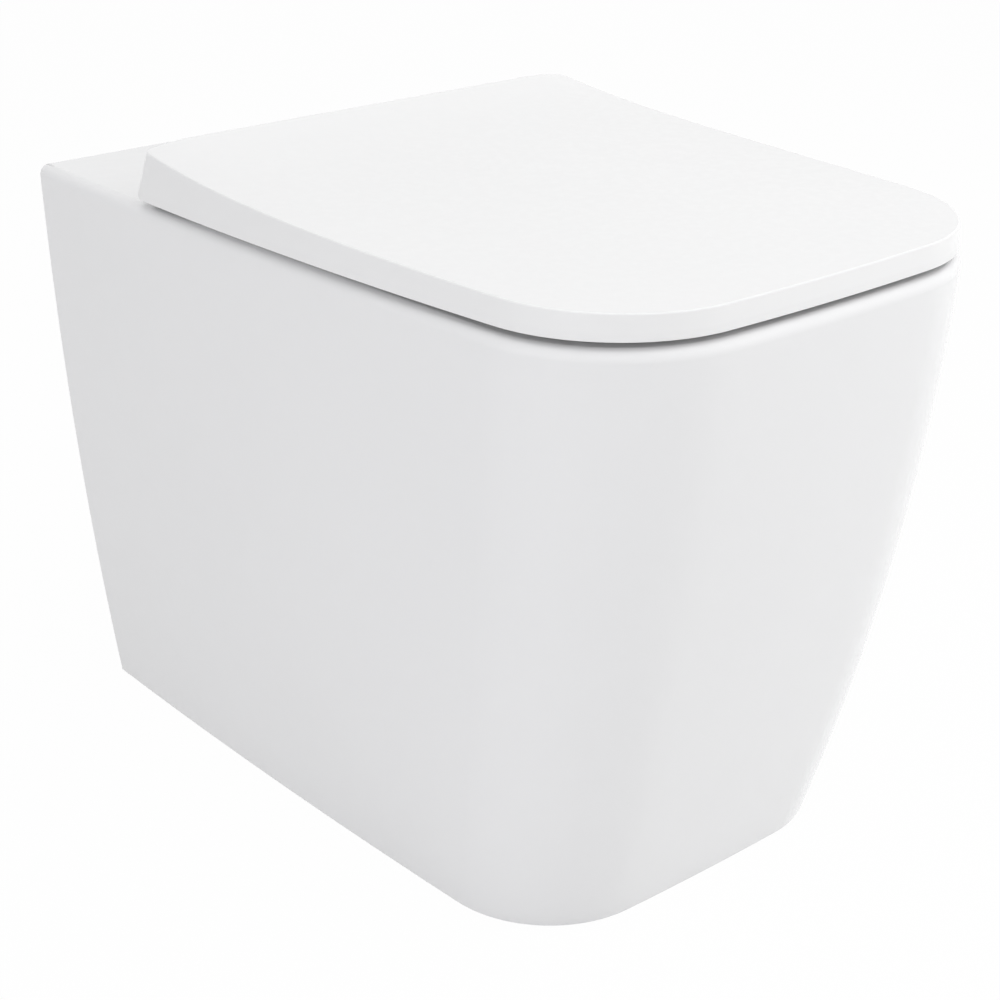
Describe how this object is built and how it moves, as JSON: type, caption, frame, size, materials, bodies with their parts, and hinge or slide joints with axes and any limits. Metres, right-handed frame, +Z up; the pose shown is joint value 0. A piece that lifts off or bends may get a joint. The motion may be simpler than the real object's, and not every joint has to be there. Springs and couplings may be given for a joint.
{
  "type": "back to wall toilet",
  "caption": "Back to wall toilet: tapering skirted china pan, slim wrap-over soft-close seat and lid on quick-release hinges, hidden flush inlet, rear outlet and floor brackets.",
  "frame": {"origin": "centre of the overall box in plan, on the floor", "axes": "+Z up; +Y towards the wall the pan stands against; -Y the front of the bowl; X = 0 the plane of symmetry"},
  "size_m": [0.3594, 0.564, 0.4408],
  "materials": {
    "china": "gloss white glaze",
    "thermoset": "gloss white moulding",
    "steel": "stainless or plated, fine turned",
    "polymer": "light grey moulded",
    "black_rubber": "matt black moulded",
    "clear_rubber": "translucent soft pad"
  },
  "bodies": {
    "pan": {"pan": "china", "inlet_seal": "black_rubber", "hinge_pin_left": "steel", "hinge_body_left": "polymer", "hinge_post_left": "steel", "hinge_plate_left": "steel", "plate_gasket_left": "clear_rubber", "fixing_stud_left": "steel", "expansion_sleeve_left": "black_rubber", "cone_nut_left": "polymer", "floor_bracket_left": "steel", "hinge_pin_right": "steel", "hinge_body_right": "polymer", "hinge_post_right": "steel", "hinge_plate_right": "steel", "plate_gasket_right": "clear_rubber", "fixing_stud_right": "steel", "expansion_sleeve_right": "black_rubber", "cone_nut_right": "polymer", "floor_bracket_right": "steel", "clamp_bolts": "steel", "clamp_washers": "steel", "clamp_nuts": "steel"},
    "seat": {"seat_ring": "thermoset", "seat_buffers": "clear_rubber", "ring_damper": "steel", "ring_bush": "polymer"},
    "cover": {"lid": "thermoset", "lid_buffers": "clear_rubber", "lid_damper": "steel", "lid_bush": "polymer"},
    "latch_left": {"release_latch_left": "polymer"},
    "latch_right": {"release_latch_right": "polymer"}
  },
  "joints": [
    {"name": "seat_hinge", "type": "hinge", "parent": "pan", "child": "seat", "pos_m": [0, 0.1345, 0.423], "axis": [-1, 0, 0], "range_deg": [0, 92]},
    {"name": "lid_hinge", "type": "hinge", "parent": "seat", "child": "cover", "pos_m": [0, 0.1345, 0.423], "axis": [-1, 0, 0], "range_deg": [0, 92]},
    {"name": "release_left", "type": "slide", "parent": "pan", "child": "latch_left", "axis": [0, 1, 0], "range_m": [0, 0.0025], "stiffness_N_per_m": 400, "springref_m": -0.004},
    {"name": "release_right", "type": "slide", "parent": "pan", "child": "latch_right", "axis": [0, 1, 0], "range_m": [0, 0.0025], "stiffness_N_per_m": 400, "springref_m": -0.004}
  ]
}
